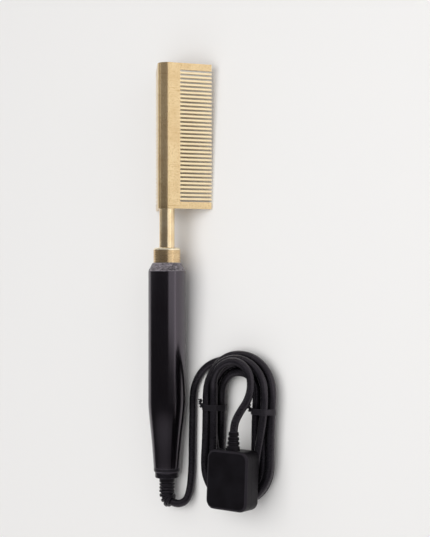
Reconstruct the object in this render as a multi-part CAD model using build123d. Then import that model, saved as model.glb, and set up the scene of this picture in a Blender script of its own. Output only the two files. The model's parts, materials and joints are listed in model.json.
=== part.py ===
from build123d import *
import math
import os

# Electric straightening comb: a brass comb head with two rows of teeth, heated from inside its
# barrel, on a brass neck and a turned black handle, with a swivel cord outlet, a coiled mains
# cord and a flat two-blade plug.
#
# Millimetres and degrees. The tool is drawn along +Y: station 0 is the joint between the collar
# and the handle, the comb head is towards +Y and the cord towards -Y. The legs of the head point
# down and outwards. At the end the tool is tilted until it lies on the tips of its teeth and on
# its handle, and the middle of its footprint goes to the origin, on the floor.

# ---- comb head ----
head_length = 104.6
barrel_radius = 6.8
leg_angle = 76.5  # between the two rows of teeth
leg_reach = 31.9  # from the barrel's side to the tips, along a leg
leg_root_thick = 3.2
leg_tip_thick = 1.8
tip_round = 0.5
solid_land = 8.0  # the strip of each leg that the slots don't reach
slot_count = 34
slot_pitch = 2.83
slot_width = 1.25
heater_bore_radius = 4.2
bore_end_wall = 6.5
neck_seat_depth = 9.5

# ---- neck and collar ----
neck_radius = 5.5
neck_wall = 1.0
neck_bare_length = 27.9
neck_tail_length = 36.0  # inside the handle
collar_length = 11.0
collar_radius = 9.7
collar_edge_round = 0.8

# ---- heater, in the barrel ----
heater_sheath_wall = 0.5
mica_wall = 0.55
winding_thick = 0.5
winding_inset = 6.0  # the bare ends of the ceramic core

# ---- handle ----
handle_length = 147.0
handle_radius = 13.4
handle_end_radius = 9.5
handle_wall = 2.65
handle_straight_length = 99.0  # before the taper starts
taper_end_slope = 0.08
shoulder_radius = 10.4  # where the nose ring meets the collar
shoulder_length = 5.8
nose_edge_round = 0.3
handle_rim_round = 0.2
spigot_depth = 6.5
bush_length = 18.0
washer_thick = 1.2
rear_bore_depth = 38.0

# ---- swivel and cord outlet ----
end_cap_thick = 3.0
end_cap_edge_round = 0.9
cap_spigot_length = 6.0
swivel_ring_radius = 8.5
swivel_ring_length = 3.8
swivel_ring_edge = 0.4
stem_radius = 5.0
stem_thin_radius = 3.6
stem_bore_radius = 1.6
circlip_thick = 1.0
circlip_reach = 1.2  # how far the circlip stands past the stem
slip_ring_thick = 0.6
slip_ring_length = 5.0
slip_ring_first = 4.0  # behind the circlip
slip_ring_gap = 7.0
carrier_wall = 1.5
carrier_front_wall = 2.0
brush_width = 3.0
brush_arc = 150.0
boot_radius = 5.5
boot_core_radius = 4.45
boot_neck_length = 3.4
boot_rib_count = 6
boot_rib_pitch = 2.4
boot_rib_width = 1.4
boot_straight_length = 11.0
boot_bend_radius = 6.5
boot_tip_length = 1.0  # the core's end, past the last rib

# ---- wiring ----
lead_radius = 0.8
lead_offset = 2.0
fuse_radius = 1.7
fuse_length = 10.0
fuse_sleeve_wall = 0.4
fuse_sleeve_overhang = 1.5
fuse_setback = 12.0  # behind the neck's tail
crimp_radius = 1.3
crimp_length = 5.0

# ---- cord, coil and plug, in the finished frame ----
cord_radius = 2.75
strand_pitch = 6.15  # between the centres of two turns in the coil
coil_centre = (57.5, -100.0)
coil_width = 57.7
coil_length = 109.0
coil_edge_round = 4.5
tie_width = 4.0
tie_thick = 1.0
tie_offset = 14.0  # from the middle of the coil, towards the head
plug_centre_x = 63.7
plug_width = 32.0
plug_length = 40.0
plug_thick = 15.5
plug_corner = 6.0
plug_edge_round = 1.6
plug_inset = 2.5  # from the coil's end to the plug's end
blade_setback = 29.5  # from the plug's end to the middle between the blades
blade_length = 15.9
blade_hole_radius = 1.6
blade_hole_depth = 11.9  # from the plug's face to the hole's middle
blade_thick = 1.5
blade_narrow = 6.35
blade_wide = 7.9
blade_spacing = 12.7
plug_relief_length = 12.0
plug_relief_radius = 4.6
plug_relief_end_radius = 3.4
plug_relief_groove_count = 3
plug_relief_groove_width = 1.1
plug_relief_groove_depth = 0.7

# ---- clearances ----
fit_gap = 0.05  # between pieces that are pressed or glued together
running_gap = 0.08  # round the swivel's stem
face_gap = 0.3  # between faces that turn past each other, and under pieces that lie loose

# ---- worked out from the sizes above ----
half_angle = leg_angle / 2
leg_x, leg_z = math.sin(math.radians(half_angle)), -math.cos(math.radians(half_angle))
normal_x, normal_z = -leg_z, leg_x  # out of the leg on the +X side
head_start = collar_length + neck_bare_length
head_end = head_start + head_length
bore_end = head_end - bore_end_wall
neck_front = head_start + neck_seat_depth - fit_gap
heater_back = head_start + neck_seat_depth
neck_bore = neck_radius - neck_wall
handle_back = -handle_length
bore_radius = handle_radius - handle_wall
rear_bore_radius = handle_end_radius - handle_wall
rear_bore_start = handle_back + rear_bore_depth
spigot_back = -shoulder_length - spigot_depth
bush_back = spigot_back - bush_length
cap_back = handle_back - end_cap_thick
cap_spigot_front = handle_back + cap_spigot_length
ring_front = cap_back - face_gap
ring_back = ring_front - swivel_ring_length
circlip_back = cap_spigot_front + face_gap
circlip_front = circlip_back + circlip_thick
carrier_back = circlip_front + face_gap
slip_ring_radius = stem_thin_radius + fit_gap + slip_ring_thick
line_ring_back = circlip_front + slip_ring_first
neutral_ring_back = line_ring_back + slip_ring_length + slip_ring_gap
stem_front = neutral_ring_back + slip_ring_length + slip_ring_first
carrier_inner_back = stem_front + face_gap
carrier_front = carrier_inner_back + carrier_front_wall
carrier_radius = rear_bore_radius - fit_gap
carrier_bore = carrier_radius - carrier_wall
fuse_front = -neck_tail_length - fuse_setback
fuse_back = fuse_front - fuse_length
boot_length = boot_neck_length + boot_rib_count * boot_rib_pitch + boot_tip_length
coil_thick_wide = 2 * cord_radius + 2 * strand_pitch
coil_height = 2 * cord_radius + 2 * strand_pitch * math.sin(math.radians(60))
plug_bottom = coil_height + face_gap
plug_middle = plug_bottom + plug_thick / 2
coil_end_y = coil_centre[1] - coil_length / 2
plug_end_y = coil_end_y + plug_inset
plug_top_y = plug_end_y + plug_length
blade_y = plug_end_y + blade_setback

# The cord's route from the boot to the coil, and from the coil to the plug.
cord_lead_route = [
    (4.145, -155.623, 9.304),
    (6.568, -156.563, 9.248),
    (10.7, -156.6, 8.7),
    (14.3, -154.8, 7.6),
    (16.3, -151.3, 6.2),
    (16.7, -143.7, 4.2),
    (16.6, -130.5, 2.8),
    (16.0, -112.0, 2.8),
    (15.8, -94.0, 2.8),
    (15.2, -76.6, 2.8),
    (19.3, -65.0, 2.8),
    (28.0, -56.4, 2.8),
    (39.6, -52.4, 2.8),
    (48.5, -51.7, 2.8),
]
cord_tail_route = [
    (40.6, -82.0, 13.4),
    (40.7, -74.0, 15.0),
    (42.0, -66.0, 17.6),
    (45.8, -58.8, 19.2),
    (52.2, -53.8, 19.4),
    (60.2, -52.2, 19.4),
    (67.6, -55.2, 19.4),
    (72.6, -61.6, 19.5),
    (74.0, -70.0, 20.1),
    (72.2, -78.8, 21.5),
    (67.4, -86.6, 23.3),
    (63.7, -94.6, 24.2),
    (63.7, -100.0, 24.2),
]


def turned(points):
    """A ring or cap turned about the tool's axis from (radius, station) points."""
    return revolve(make_face(Polyline(*points, close=True)), Axis.Y)


def tube(outer, inner, back, front):
    """A plain round tube about the tool's axis."""
    return turned([(inner, back), (outer, back), (outer, front), (inner, front)])


def rod(radius, back, front, x=0.0):
    """A plain round bar along the tool's axis, or beside it at x."""
    plane = Plane(origin=(x, back, 0), x_dir=(1, 0, 0), z_dir=(0, 1, 0))
    return extrude(plane * Circle(radius), front - back)


def rims_at(piece, radius, station):
    """The round edges of a turned piece at one radius and station."""
    near = fit_gap / 2
    return [
        edge
        for edge in piece.edges().filter_by(GeomType.CIRCLE)
        if abs(edge.radius - radius) < near and abs(edge.center().Y - station) < near
    ]


def head_plane(station):
    """Plane across the tool, with X to the right and the tool's Z up in it."""
    return Plane(origin=(0, station, 0), x_dir=(1, 0, 0), z_dir=(0, -1, 0))


def leg_point(along, inwards, side):
    """A point of the head's section: along a leg from the barrel's side, and in from its face."""
    x = (barrel_radius - inwards) * normal_x + along * leg_x
    z = (barrel_radius - inwards) * normal_z + along * leg_z
    return (side * x, z)


def comb_head():
    """The barrel with its two tapering legs, slotted into teeth, and the heater's bore."""
    section = Circle(barrel_radius)
    for side in (1, -1):
        section += make_face(
            Polyline(
                leg_point(0, 0, side),
                leg_point(leg_reach, 0, side),
                leg_point(leg_reach, leg_tip_thick, side),
                leg_point(0, leg_root_thick, side),
                close=True,
            )
        )
    section = fillet(section.vertices().sort_by(Axis.Y)[:4], tip_round)
    head = extrude(head_plane(head_start) * section, head_length, dir=(0, 1, 0))
    head -= rod(heater_bore_radius, head_start, bore_end)
    head -= rod(neck_radius + fit_gap, head_start, head_start + neck_seat_depth)
    past = leg_root_thick  # how far a cutter stands past the leg on every side
    first = head_start + (head_length - (slot_count - 1) * slot_pitch - slot_width) / 2
    cutters = []
    for side in (1, -1):
        outline = make_face(
            Polyline(
                leg_point(solid_land, -past, side),
                leg_point(leg_reach + past, -past, side),
                leg_point(leg_reach + past, leg_root_thick + past, side),
                leg_point(solid_land, leg_root_thick + past, side),
                close=True,
            )
        )
        for i in range(slot_count):
            plane = head_plane(first + i * slot_pitch)
            cutters.append(extrude(plane * outline, slot_width, dir=(0, 1, 0)))
    return head - cutters


def heater_pieces():
    """A ceramic core with its wire winding, in a mica tube inside a steel sheath."""
    sheath = heater_bore_radius - fit_gap
    mica = sheath - heater_sheath_wall - fit_gap
    winding = mica - mica_wall - fit_gap
    core = winding - winding_thick
    back, front = heater_back, bore_end
    return {
        "heater_sheath": tube(sheath, sheath - heater_sheath_wall, back, front),
        "heater_insulation": tube(mica, mica - mica_wall, back, front),
        "heater_winding": tube(winding, core, back + winding_inset, front - winding_inset),
        "heater_core": rod(core, back, front),
    }


def neck_tube():
    """The brass tube from its seat in the head to its tail in the handle."""
    return tube(neck_radius, neck_bore, -neck_tail_length, neck_front)


def collar():
    """The brass collar that hides the joint between neck and handle."""
    ring = tube(collar_radius, neck_radius + fit_gap, 0, collar_length)
    rims = ring.edges().filter_by(GeomType.CIRCLE).sort_by(lambda e: e.radius)[-2:]
    return fillet(rims, collar_edge_round)


def nose_ring():
    """The heat-resistant cone between collar and handle, with a spigot into the handle."""
    inner = neck_radius + fit_gap
    spigot = bore_radius - fit_gap
    ring = turned(
        [
            (inner, 0),
            (shoulder_radius, 0),
            (handle_radius, -shoulder_length),
            (spigot, -shoulder_length),
            (spigot, spigot_back),
            (inner, spigot_back),
        ]
    )
    return fillet(rims_at(ring, shoulder_radius, 0), nose_edge_round)


def insulating_bush():
    """The bush that carries the neck's tail inside the handle."""
    return tube(bore_radius - fit_gap, neck_radius + fit_gap, bush_back, spigot_back)


def retaining_washer():
    """The toothed steel washer that keeps the neck in its bush, drawn plain."""
    reach = (neck_radius + bore_radius) / 2
    return tube(reach, neck_radius + fit_gap, bush_back - washer_thick, bush_back)


def handle_taper():
    """The long curve in which the handle draws in to its end."""
    return Spline(
        (handle_radius, -handle_straight_length),
        ((handle_radius + handle_end_radius) / 2, (handle_back - handle_straight_length) / 2),
        (handle_end_radius, handle_back),
        tangents=[(0, -1), (-taper_end_slope, -1)],
    )


def handle_shell():
    """The hollow handle: a straight grip, then the taper, with a narrow bore at its end."""
    rest = Polyline(
        (handle_end_radius, handle_back),
        (rear_bore_radius, handle_back),
        (rear_bore_radius, rear_bore_start),
        (bore_radius, rear_bore_start + bore_radius - rear_bore_radius),
        (bore_radius, -shoulder_length),
        (handle_radius, -shoulder_length),
        (handle_radius, -handle_straight_length),
    )
    shell = revolve(make_face([handle_taper(), *rest.edges()]), Axis.Y)
    rims = rims_at(shell, handle_radius, -shoulder_length) + rims_at(shell, handle_end_radius, handle_back)
    return fillet(rims, handle_rim_round)


def end_cap():
    """The rounded cap at the handle's end, whose spigot is the swivel's bearing."""
    bore = stem_radius + running_gap
    cap = turned(
        [
            (bore, cap_back),
            (handle_end_radius, cap_back),
            (handle_end_radius, handle_back),
            (rear_bore_radius - fit_gap, handle_back),
            (rear_bore_radius - fit_gap, cap_spigot_front),
            (bore, cap_spigot_front),
        ]
    )
    return fillet(rims_at(cap, handle_end_radius, cap_back), end_cap_edge_round)


def contact_carrier():
    """The moulded cup that holds the two brushes round the swivel's stem."""
    return turned(
        [
            (carrier_bore, carrier_back),
            (carrier_radius, carrier_back),
            (carrier_radius, carrier_front),
            (0, carrier_front),
            (0, carrier_inner_back),
            (carrier_bore, carrier_inner_back),
        ]
    )


def brush(ring_back):
    """A sprung brass brush: part of a ring between the carrier and a slip ring."""
    inner, outer = slip_ring_radius + face_gap, carrier_bore - fit_gap
    back = ring_back + (slip_ring_length - brush_width) / 2
    section = Polyline(
        (inner, back),
        (outer, back),
        (outer, back + brush_width),
        (inner, back + brush_width),
        close=True,
    )
    return revolve(make_face(section), Axis.Y, brush_arc)


def swivel_hub():
    """The ring behind the end cap, with the hollow stem that turns in the handle."""
    return turned(
        [
            (stem_bore_radius, ring_back),
            (swivel_ring_radius - swivel_ring_edge, ring_back),
            (swivel_ring_radius, ring_back + swivel_ring_edge),
            (swivel_ring_radius, ring_front - swivel_ring_edge),
            (swivel_ring_radius - swivel_ring_edge, ring_front),
            (stem_radius, ring_front),
            (stem_radius, circlip_back),
            (stem_thin_radius, circlip_back),
            (stem_thin_radius, stem_front),
            (stem_bore_radius, stem_front),
        ]
    )


def boot_frame(along):
    """Where the boot's middle line is, and where it points, at a length along it."""
    turned_by = max(0.0, along - boot_straight_length) / boot_bend_radius
    straight = min(along, boot_straight_length)
    x = boot_bend_radius * (1 - math.cos(turned_by))
    y = ring_back - straight - boot_bend_radius * math.sin(turned_by)
    return Plane(origin=(x, y, 0), z_dir=(math.sin(turned_by), -math.cos(turned_by), 0))


def strain_relief_boot():
    """The ribbed boot: a plain neck, then ribs on a core that bends to one side."""
    start = boot_frame(0)
    bend = boot_frame(boot_straight_length)
    bend_turn = math.degrees((boot_length - boot_straight_length) / boot_bend_radius)
    straight = Line(start.origin, bend.origin)
    curve = JernArc(bend.origin, (0, -1, 0), boot_bend_radius, bend_turn)
    boot = extrude(start * Circle(boot_core_radius), boot_straight_length)
    boot += sweep(bend * Circle(boot_core_radius), path=curve)
    boot += extrude(start * Circle(boot_radius), boot_neck_length)
    for i in range(boot_rib_count):
        middle = boot_neck_length + (i + 1) * boot_rib_pitch - boot_rib_width / 2
        rib = Cylinder(boot_radius, boot_rib_width, align=(Align.CENTER, Align.CENTER, Align.CENTER))
        boot += boot_frame(middle).location * rib
    return boot


def wiring():
    """The leads from the heater to the brushes' carrier, with the thermal fuse and its crimps."""
    line_x, neutral_x = lead_offset, -lead_offset
    return {
        "lead_wire_neutral": rod(lead_radius, carrier_front, heater_back, neutral_x),
        "lead_wire_line_front": rod(lead_radius, fuse_front + crimp_length, heater_back, line_x),
        "lead_wire_line_rear": rod(lead_radius, carrier_front, fuse_back - crimp_length, line_x),
        "thermal_fuse": rod(fuse_radius, fuse_back, fuse_front, line_x),
        "crimp_connectors": rod(crimp_radius, fuse_front, fuse_front + crimp_length, line_x)
        + rod(crimp_radius, fuse_back - crimp_length, fuse_back, line_x),
        "fuse_sleeve": Pos(line_x, 0, 0)
        * tube(
            fuse_radius + fit_gap + fuse_sleeve_wall,
            fuse_radius + fit_gap,
            fuse_back - fuse_sleeve_overhang,
            fuse_front + fuse_sleeve_overhang,
        ),
    }


def racetrack(width, length):
    """The outline of a coil: two straight sides and two half rounds."""
    return Rot(0, 0, 90) * SlotOverall(length, width)


def cord_coil():
    """The outer shape of the coiled cord, one closed ring."""
    inner_width = coil_width - 2 * coil_thick_wide
    inner_length = coil_length - 2 * coil_thick_wide
    outline = racetrack(coil_width, coil_length) - racetrack(inner_width, inner_length)
    ring = extrude(outline, coil_height)
    rims = ring.edges().filter_by(Plane.XY)
    return Pos(*coil_centre, 0) * fillet(rims, coil_edge_round)


def cord_ties():
    """Two straps that hold the turns together, one round each straight side of the coil."""
    height = coil_height + tie_thick
    strap = Rectangle(coil_thick_wide + 2 * tie_thick, height)
    strap -= Rectangle(coil_thick_wide, height - 2 * tie_thick)
    ties = []
    for side in (-1, 1):
        x = coil_centre[0] + side * (coil_width - coil_thick_wide) / 2
        middle = (x, coil_centre[1] + tie_offset - tie_width / 2, height / 2)
        ties.append(Pos(*middle) * extrude(head_plane(0) * strap, tie_width, dir=(0, 1, 0)))
    return Compound(ties)


def cord_tube(route):
    """A cord along straight runs joined by arcs as large as the runs allow."""
    points = [Vector(*p) for p in route]
    radii = []
    for before, here, after in zip(points, points[1:], points[2:]):
        shorter = min((here - before).length, (after - here).length)
        half_turn = math.radians((here - before).get_angle(after - here)) / 2
        radii.append(0.45 * shorter / math.tan(half_turn))
    path = FilletPolyline(*points, radius=radii)
    start = Plane(origin=points[0], z_dir=points[1] - points[0])
    solid = sweep(start * Circle(cord_radius), path=path)
    expected = math.pi * cord_radius**2 * path.length
    print("cord radii", [round(r, 1) for r in radii], "length", round(path.length, 1))
    print("cord volume / expected", round(solid.volume / expected, 4))
    return solid


def plug_pieces():
    """A flat moulded plug with two blades underneath and the cord's sleeve at one end."""
    plane = Plane((plug_centre_x, (plug_end_y + plug_top_y) / 2, plug_bottom))
    body = extrude(plane * RectangleRounded(plug_width, plug_length, plug_corner), plug_thick)
    body = fillet(body.faces().sort_by(Axis.Z)[-1].edges(), plug_edge_round)
    relief_plane = Plane((plug_centre_x, plug_top_y, plug_middle), z_dir=(0, 1, 0))
    relief = loft(
        [
            relief_plane * Circle(plug_relief_radius),
            relief_plane.offset(plug_relief_length) * Circle(plug_relief_end_radius),
        ]
    )
    taper = (plug_relief_radius - plug_relief_end_radius) / plug_relief_length
    for i in range(plug_relief_groove_count):
        along = (i + 1) * plug_relief_length / (plug_relief_groove_count + 1)
        floor_radius = plug_relief_radius - taper * along - plug_relief_groove_depth
        groove = Circle(plug_relief_radius) - Circle(floor_radius)
        start = relief_plane.offset(along - plug_relief_groove_width / 2)
        relief -= extrude(start * groove, plug_relief_groove_width)
    blades = {}
    for name, side, width in (("narrow", -1, blade_narrow), ("wide", 1, blade_wide)):
        place = Plane((plug_centre_x, blade_y + side * blade_spacing / 2, plug_bottom))
        blade = extrude(place * Rectangle(width, blade_thick), -blade_length)
        corners = blade.edges().filter_by(Axis.Y).sort_by(Axis.Z)[:2]
        blade = chamfer(corners, blade_thick)
        hole = Cylinder(blade_hole_radius, 2 * blade_thick, rotation=(90, 0, 0))
        blades["plug_blade_" + name] = blade - place * Pos(0, 0, -blade_hole_depth) * hole
    return {"plug_body": body, "plug_relief": relief, **blades}


def tool_pieces():
    """Every piece of the tool itself, along the tool's own axis."""
    return {
        "comb_head": comb_head(),
        **heater_pieces(),
        "neck_tube": neck_tube(),
        "collar": collar(),
        "nose_ring": nose_ring(),
        "insulating_bush": insulating_bush(),
        "retaining_washer": retaining_washer(),
        "handle_shell": handle_shell(),
        "end_cap": end_cap(),
        "contact_carrier": contact_carrier(),
        "brush_line": brush(line_ring_back),
        "brush_neutral": brush(neutral_ring_back),
        **wiring(),
        "swivel_hub": swivel_hub(),
        "swivel_circlip": tube(
            stem_radius + circlip_reach, stem_thin_radius + fit_gap, circlip_back, circlip_front
        ),
        "slip_ring_line": tube(
            slip_ring_radius, stem_thin_radius + fit_gap, line_ring_back, line_ring_back + slip_ring_length
        ),
        "slip_ring_neutral": tube(
            slip_ring_radius,
            stem_thin_radius + fit_gap,
            neutral_ring_back,
            neutral_ring_back + slip_ring_length,
        ),
        "strain_relief_boot": strain_relief_boot(),
    }


def resting_place(pieces):
    """The tilt and shift that lay the tool down on its teeth and on its handle."""
    tip_drop = tip_round - leg_point(leg_reach - tip_round, leg_tip_thick - tip_round, 1)[1]
    taper = handle_taper()
    feet = [taper @ (i / 50) for i in range(51)]
    tilt = min(math.degrees(math.atan((tip_drop - p.X) / (head_start - p.Y))) for p in feet)
    box = (Rot(tilt, 0, 0) * Compound(list(pieces.values()))).bounding_box()
    shift = Pos(0, -(box.min.Y + box.max.Y) / 2, -box.min.Z)
    return shift * Rot(tilt, 0, 0)


def main():
    os.makedirs("parts", exist_ok=True)
    tool = tool_pieces()
    place = resting_place(tool)
    pieces = {name: place * shape for name, shape in tool.items()}
    pieces["cord_coil"] = cord_coil()
    pieces["cord_ties"] = cord_ties()
    pieces["cord_lead"] = cord_tube(cord_lead_route)
    pieces["cord_tail"] = cord_tube(cord_tail_route)
    pieces.update(plug_pieces())
    for name, shape in pieces.items():
        export_step(shape, f"parts/{name}.step")


main()
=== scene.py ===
"""An electric straightening comb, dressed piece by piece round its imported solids.

The tool's own pieces are modelled in millimetres along its own axes: x across it, y along it as
stations from the joint between collar and handle, towards the comb head, and z up through its back.
The cord, its ties and the plug are modelled in the row's axes, on the floor.
"""

import json
import logging
import math
from collections.abc import Sequence
from dataclasses import dataclass
from enum import Enum
from itertools import pairwise
from random import Random

import bmesh
import bpy
from mathutils import Matrix, Vector


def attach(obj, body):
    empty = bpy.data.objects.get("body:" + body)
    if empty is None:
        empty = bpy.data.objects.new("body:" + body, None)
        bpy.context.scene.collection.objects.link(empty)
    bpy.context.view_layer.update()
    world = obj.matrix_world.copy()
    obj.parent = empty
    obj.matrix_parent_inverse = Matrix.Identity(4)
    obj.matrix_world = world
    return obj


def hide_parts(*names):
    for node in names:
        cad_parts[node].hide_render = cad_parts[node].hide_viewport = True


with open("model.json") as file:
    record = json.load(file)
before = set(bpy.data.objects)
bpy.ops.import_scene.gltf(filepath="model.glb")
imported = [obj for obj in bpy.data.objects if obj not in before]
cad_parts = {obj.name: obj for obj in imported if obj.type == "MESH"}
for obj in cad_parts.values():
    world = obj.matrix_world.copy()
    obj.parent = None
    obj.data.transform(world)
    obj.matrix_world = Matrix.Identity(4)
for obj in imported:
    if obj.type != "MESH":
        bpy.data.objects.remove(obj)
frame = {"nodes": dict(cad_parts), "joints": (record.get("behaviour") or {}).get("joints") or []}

LOG = logging.getLogger("straightening_comb")
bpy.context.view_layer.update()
# One millimetre in metres. Meshes are drawn in millimetres, pieces are in metres.
MM = 0.001
# An edge whose faces meet at more than this keeps a hard line in the shading.
SHARP_EDGE = math.radians(38.0)
# Points this near each other, in mm, are one place, and a spin's doubles are nearer still.
SAME_PLACE = 1e-3
DOUBLES = 1e-4
# The attribute in which a mesh tells its finish how worn each face is, and how much painted highlight each
# comb tooth takes.
WEAR_AND_HIGHLIGHT = "edge_wear_and_highlight"


class Body(Enum):
    """The two bodies that the swivel joins."""

    COMB = "comb"
    SWIVEL = "swivel"


# ---------------------------------------------------------------------------------------------
# Frames
# ---------------------------------------------------------------------------------------------


@dataclass(frozen=True)
class ToolFrame:
    """The tool's own axes in the row's frame, worked out from the swivel joint.

    Attributes:
        swivel_station: where the swivel joint is along the tool, in mm.
    """

    swivel_station: float = -150.0

    def axes(self) -> Matrix:
        """Work out the turn from the tool's axes to the row's.

        Returns:
            The turn, as a 3 by 3 matrix.
        """
        along = Vector(frame["joints"][0]["axis"]).normalized()
        across = Vector((1.0, 0.0, 0.0))
        up = across.cross(along)
        return Matrix((across, along, up)).transposed()

    def matrix(self) -> Matrix:
        """Work out the whole placement on the row.

        Returns:
            The step from millimetres along the tool to metres in the row's frame.
        """
        turn = self.axes()
        joint = Vector(frame["joints"][0]["pos_m"])
        origin = joint - turn @ Vector((0.0, self.swivel_station * MM, 0.0))
        return Matrix.Translation(origin) @ (turn * MM).to_4x4()


TOOL = ToolFrame()
# What is drawn in the row's own axes only turns from millimetres to metres.
ROW = Matrix.Diagonal((MM, MM, MM, 1.0))


# ---------------------------------------------------------------------------------------------
# Materials
# ---------------------------------------------------------------------------------------------


def linear(hex_colour: str) -> tuple[float, float, float, float]:
    """Turn an sRGB hex colour into the linear colour that shaders take, by the standard's own curve.

    Args:
        hex_colour: six hex digits, such as "d9be8c".

    Returns:
        Red, green, blue and an alpha of one.
    """
    values = [int(hex_colour[i : i + 2], 16) / 255 for i in (0, 2, 4)]
    red, green, blue = (v / 12.92 if v <= 0.04045 else ((v + 0.055) / 1.055) ** 2.4 for v in values)
    return (red, green, blue, 1.0)


def add_node(
    tree: bpy.types.NodeTree,
    kind: str,
    settings: dict[str, object] | None = None,
    values: dict[int | str, object] | None = None,
    links: dict[int | str, bpy.types.NodeSocket] | None = None,
) -> bpy.types.Node:
    """Add one node with its settings and its links.

    Args:
        tree: the node tree to add it to.
        kind: the node's type name.
        settings: properties of the node itself.
        values: plain values for its inputs, by name or place.
        links: sockets that feed its inputs, by name or place.

    Returns:
        The new node.
    """
    node = tree.nodes.new(kind)
    for name, value in (settings or {}).items():
        setattr(node, name, value)
    for key, value in (values or {}).items():
        node.inputs[key].default_value = value
    for key, socket in (links or {}).items():
        tree.links.new(socket, node.inputs[key])
    return node


# A colour Mix node's sockets by place, because several share one name: what lies under, what is
# laid over it, and the mixed colour.
UNDER, OVER, MIXED = 6, 7, 2


class Lay(Enum):
    """Which way a surface's grain runs: whether it is drawn out across, along and up the tool."""

    EVEN = (0, 0, 0)
    LENGTHWISE = (0, 1, 0)
    ROUND = (1, 0, 1)


# How rough every noise is, how many finer layers the grain has, and which part of a noise's range
# turns into a pattern.
NOISE_ROUGHNESS = 0.55
GRAIN_DETAIL = 3.0
PATCH_RANGE = (0.38, 0.68)
SPECK_RANGE = (0.5, 0.72)
SCRATCH_RANGE = (0.66, 0.72)
GLOSS_RANGE = (0.3, 0.7)
# A scratch is a hair wide. It is drawn this wide, in mm, to show at all, and this much longer.
SCRATCH_MM = 0.8
SCRATCH_SLANT = math.radians(50)
SCRATCH_STRETCH = 0.04


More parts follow.
